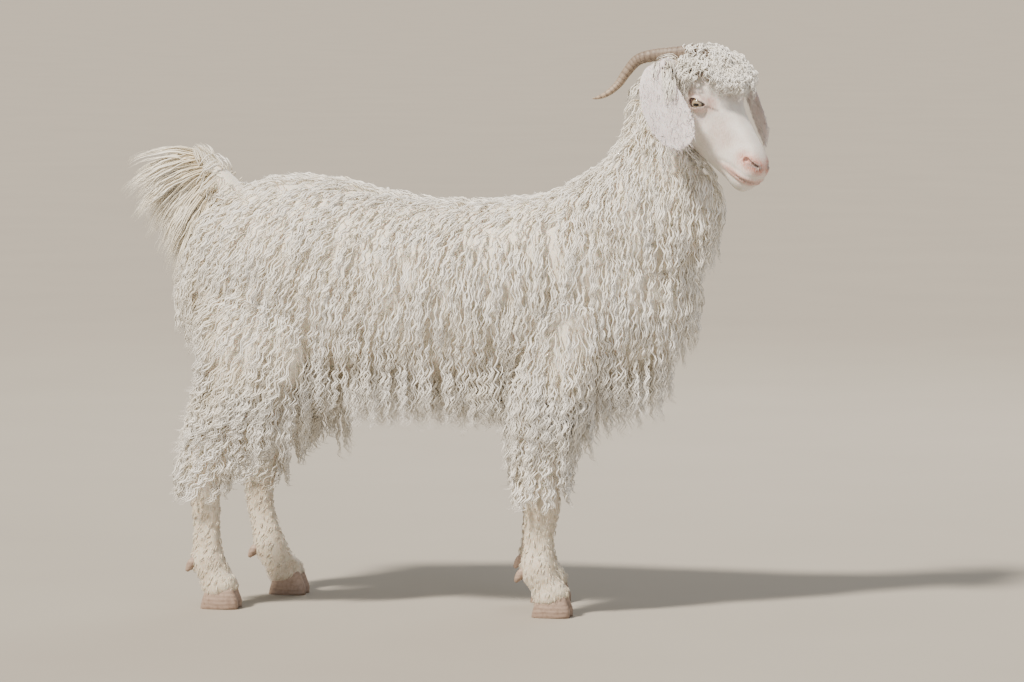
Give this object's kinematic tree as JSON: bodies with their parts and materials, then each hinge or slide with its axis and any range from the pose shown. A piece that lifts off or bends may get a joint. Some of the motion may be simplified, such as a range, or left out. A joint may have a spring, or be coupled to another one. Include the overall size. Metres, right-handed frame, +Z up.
{
  "type": "angora goat",
  "caption": "Life-size still model of a standing Angora goat in long curly fleece, head turned to its right, tail raised.",
  "frame": {"origin": "on the floor, under the middle of the whole model's bounding box", "axes": "+X towards the nose end, +Y to the animal's left, +Z up"},
  "size_m": [1.0384, 0.3696, 0.8828],
  "materials": {
    "mohair": "matt, soft curly fibre",
    "short_hair": "matt, short smooth hair",
    "ear_skin": "matt, finely haired skin",
    "horn": "satin, ringed",
    "hoof": "satin",
    "eye": "wet gloss"
  },
  "bodies": {
    "root": {"torso": "mohair", "neck": "mohair", "head": "short_hair", "tail": "mohair", "foreleg_right": "mohair", "foreleg_left": "mohair", "hindleg_right": "mohair", "hindleg_left": "mohair", "ear_right": "ear_skin", "ear_left": "ear_skin", "horn_right": "horn", "horn_left": "horn", "eye_right": "eye", "eye_left": "eye", "claw_forefoot_right_outer": "hoof", "claw_forefoot_right_inner": "hoof", "claw_forefoot_left_outer": "hoof", "claw_forefoot_left_inner": "hoof", "claw_hindfoot_right_outer": "hoof", "claw_hindfoot_right_inner": "hoof", "claw_hindfoot_left_outer": "hoof", "claw_hindfoot_left_inner": "hoof", "dewclaw_forefoot_right_outer": "hoof", "dewclaw_forefoot_right_inner": "hoof", "dewclaw_forefoot_left_outer": "hoof", "dewclaw_forefoot_left_inner": "hoof", "dewclaw_hindfoot_right_outer": "hoof", "dewclaw_hindfoot_right_inner": "hoof", "dewclaw_hindfoot_left_outer": "hoof", "dewclaw_hindfoot_left_inner": "hoof"}
  },
  "joints": []
}
